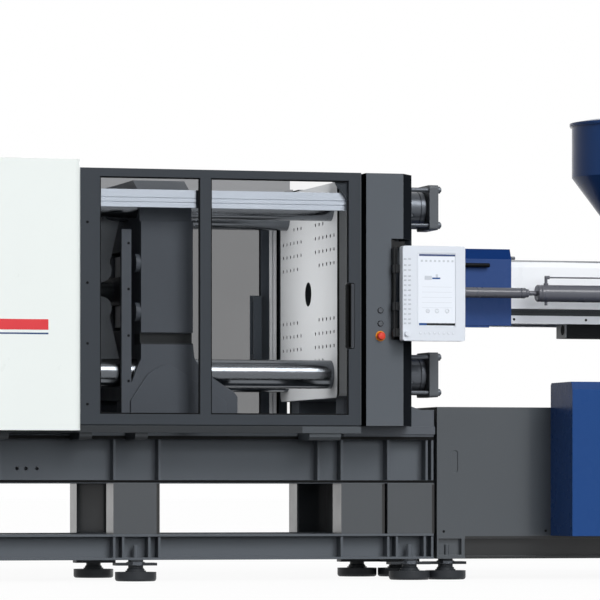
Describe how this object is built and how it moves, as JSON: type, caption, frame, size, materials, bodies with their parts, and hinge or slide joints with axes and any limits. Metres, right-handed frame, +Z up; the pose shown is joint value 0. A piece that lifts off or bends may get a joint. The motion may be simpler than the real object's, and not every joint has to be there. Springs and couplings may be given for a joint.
{
  "type": "injection moulding machine",
  "caption": "Horizontal injection moulding machine with a toggle clamp, tie bars, sliding guard doors, a hopper-fed screw barrel and a control panel.",
  "frame": {"origin": "middle of the footprint, on the floor", "axes": "+X from the clamp to the injection unit, -Y the operator's side, +Z up"},
  "size_m": [5.4, 1.7, 2.433],
  "materials": {
    "bed_paint": "satin",
    "platen_paint": "satin",
    "platen_face": "ground",
    "machined_steel": "machined",
    "chromed_steel": "polished",
    "dark_steel": "blackened",
    "blue_paint": "satin",
    "white_paint": "satin",
    "aluminium": "extruded",
    "clear_sheet": "clear",
    "white_plastic": "satin",
    "black_plastic": "matt",
    "red_plastic": "gloss",
    "rubber": "matt",
    "pale_paint": "satin",
    "bright_steel": "ground"
  },
  "bodies": {
    "frame": {"bed_beams": "bed_paint", "bed_legs": "bed_paint", "bed_cross_members": "bed_paint", "levelling_feet": "dark_steel", "injection_base": "bed_paint", "front_cabinet": "blue_paint", "rear_cabinet": "blue_paint", "injection_pedestal": "bed_paint", "fixed_platen": "platen_face", "tie_bars": "chromed_steel", "tie_bar_nuts": "machined_steel", "retaining_plates": "dark_steel", "retaining_studs": "dark_steel", "front_platen_cover": "platen_paint", "rear_platen_cover": "platen_paint", "door_tracks": "bed_paint", "front_clamp_cover": "white_paint", "rear_clamp_cover": "white_paint", "clamp_end_cover": "white_paint", "injection_guide_beams": "bright_steel", "injection_guide_rails": "dark_steel", "carriage_rods": "dark_steel", "panel_arm": "black_plastic", "cable_box": "black_plastic"},
    "front_door": {"front_door_frame": "bed_paint", "front_door_window": "clear_sheet", "front_door_handle": "black_plastic", "front_door_rail": "aluminium"},
    "rear_door": {"rear_door_frame": "bed_paint", "rear_door_window": "clear_sheet"},
    "rear_platen": {"rear_platen": "platen_paint", "adjusting_nuts": "machined_steel", "clamp_cylinder": "dark_steel"},
    "moving_platen": {"moving_platen": "platen_paint", "platen_shoes": "platen_paint", "ejector_cylinder": "dark_steel"},
    "ejector": {"ejector_plate": "machined_steel"},
    "upper_rear_link": {"upper_rear_links": "dark_steel"},
    "lower_rear_link": {"lower_rear_links": "dark_steel"},
    "upper_front_link": {"upper_front_links": "dark_steel"},
    "lower_front_link": {"lower_front_links": "dark_steel"},
    "crosshead": {"crosshead": "machined_steel"},
    "upper_crosshead_link": {"upper_crosshead_links": "dark_steel"},
    "lower_crosshead_link": {"lower_crosshead_links": "dark_steel"},
    "injection_unit": {"barrel": "machined_steel", "injection_carriage": "bed_paint", "barrel_cover": "pale_paint", "hopper": "blue_paint", "carriage_cylinders": "dark_steel"},
    "injection_drive": {"injection_drive": "blue_paint"},
    "screw": {"screw": "machined_steel"},
    "hopper_lid": {"hopper_lid": "blue_paint"},
    "hopper_gate": {"hopper_gate": "machined_steel"},
    "purge_guard": {"purge_guard": "blue_paint"},
    "control_panel": {"control_panel": "white_plastic"},
    "panel_knob": {"panel_knob": "white_plastic"},
    "emergency_stop": {"emergency_stop": "red_plastic"},
    "start_button": {"start_button": "black_plastic"},
    "stop_button": {"stop_button": "black_plastic"},
    "cabinet_door": {"front_cabinet_door": "blue_paint"}
  },
  "joints": [
    {"name": "front_door_slide", "type": "slide", "parent": "frame", "child": "front_door", "axis": [-1, 0, 0], "range_m": [0, 1.1]},
    {"name": "rear_door_slide", "type": "slide", "parent": "frame", "child": "rear_door", "axis": [-1, 0, 0], "range_m": [0, 1.1]},
    {"name": "mould_height_slide", "type": "slide", "parent": "frame", "child": "rear_platen", "axis": [1, 0, 0], "range_m": [-0.15, 0]},
    {"name": "clamp_slide", "type": "slide", "parent": "rear_platen", "child": "moving_platen", "axis": [1, 0, 0], "range_m": [0, 0.5]},
    {"name": "ejector_slide", "type": "slide", "parent": "moving_platen", "child": "ejector", "axis": [1, 0, 0], "range_m": [0, 0.1]},
    {"name": "upper_rear_link_turn", "type": "hinge", "parent": "rear_platen", "child": "upper_rear_link", "pos_m": [-1.3386, 0, 1.88], "axis": [0, -1, 0], "range_deg": [0, 77.2]},
    {"name": "lower_rear_link_turn", "type": "hinge", "parent": "rear_platen", "child": "lower_rear_link", "pos_m": [-1.3386, 0, 1.06], "axis": [0, 1, 0], "range_deg": [0, 77.2]},
    {"name": "upper_front_link_turn", "type": "hinge", "parent": "moving_platen", "child": "upper_front_link", "pos_m": [-1.192, 0, 1.88], "axis": [0, 1, 0], "range_deg": [0, 77.2]},
    {"name": "lower_front_link_turn", "type": "hinge", "parent": "moving_platen", "child": "lower_front_link", "pos_m": [-1.192, 0, 1.06], "axis": [0, -1, 0], "range_deg": [0, 77.2]},
    {"name": "crosshead_slide", "type": "slide", "parent": "rear_platen", "child": "crosshead", "axis": [1, 0, 0], "range_m": [0, 0.363]},
    {"name": "upper_crosshead_link_turn", "type": "hinge", "parent": "crosshead", "child": "upper_crosshead_link", "pos_m": [-1.6048, 0, 1.555], "axis": [0, -1, 0], "range_deg": [0, 46]},
    {"name": "lower_crosshead_link_turn", "type": "hinge", "parent": "crosshead", "child": "lower_crosshead_link", "pos_m": [-1.6048, 0, 1.385], "axis": [0, 1, 0], "range_deg": [0, 46]},
    {"name": "carriage_slide", "type": "slide", "parent": "frame", "child": "injection_unit", "axis": [1, 0, 0], "range_m": [-0.035, 0.35]},
    {"name": "injection_slide", "type": "slide", "parent": "injection_unit", "child": "injection_drive", "axis": [1, 0, 0], "range_m": [0, 0.2]},
    {"name": "screw_turn", "type": "hinge", "parent": "injection_drive", "child": "screw", "pos_m": [1.95, 0, 1.47], "axis": [1, 0, 0], "continuous": true},
    {"name": "hopper_lid_turn", "type": "hinge", "parent": "injection_unit", "child": "hopper_lid", "pos_m": [1.671, 0.332, 2.381], "axis": [-1, 0, 0], "range_deg": [0, 100]},
    {"name": "hopper_gate_slide", "type": "slide", "parent": "injection_unit", "child": "hopper_gate", "axis": [0, 1, 0], "range_m": [0, 0.12]},
    {"name": "purge_guard_slide", "type": "slide", "parent": "frame", "child": "purge_guard", "axis": [1, 0, 0], "range_m": [0, 0.185]},
    {"name": "panel_swivel", "type": "hinge", "parent": "frame", "child": "control_panel", "pos_m": [0.14, -0.766, 1.45], "axis": [0, 0, -1], "range_deg": [0, 80]},
    {"name": "panel_knob_turn", "type": "hinge", "parent": "control_panel", "child": "panel_knob", "pos_m": [0.184, -0.838, 1.241], "axis": [0, 1, 0], "continuous": true},
    {"name": "emergency_stop_push", "type": "slide", "parent": "frame", "child": "emergency_stop", "axis": [0, 1, 0], "range_m": [0, 0.005]},
    {"name": "start_button_push", "type": "slide", "parent": "frame", "child": "start_button", "axis": [0, 1, 0], "range_m": [0, 0.004], "stiffness_N_per_m": 900},
    {"name": "stop_button_push", "type": "slide", "parent": "frame", "child": "stop_button", "axis": [0, 1, 0], "range_m": [0, 0.004], "stiffness_N_per_m": 900},
    {"name": "cabinet_door_turn", "type": "hinge", "parent": "frame", "child": "cabinet_door", "pos_m": [1.222, -0.841, 0.6], "axis": [0, 0, -1], "range_deg": [0, 110]}
  ],
  "couplings": [
    {"joint": "upper_rear_link_turn", "follows": "clamp_slide", "rad_per_m": 2.6843},
    {"joint": "lower_rear_link_turn", "follows": "clamp_slide", "rad_per_m": 2.6843},
    {"joint": "upper_front_link_turn", "follows": "clamp_slide", "rad_per_m": 2.6843},
    {"joint": "lower_front_link_turn", "follows": "clamp_slide", "rad_per_m": 2.6843},
    {"joint": "crosshead_slide", "follows": "clamp_slide", "ratio": 0.7228},
    {"joint": "upper_crosshead_link_turn", "follows": "clamp_slide", "rad_per_m": 1.5963},
    {"joint": "lower_crosshead_link_turn", "follows": "clamp_slide", "rad_per_m": 1.5963}
  ]
}
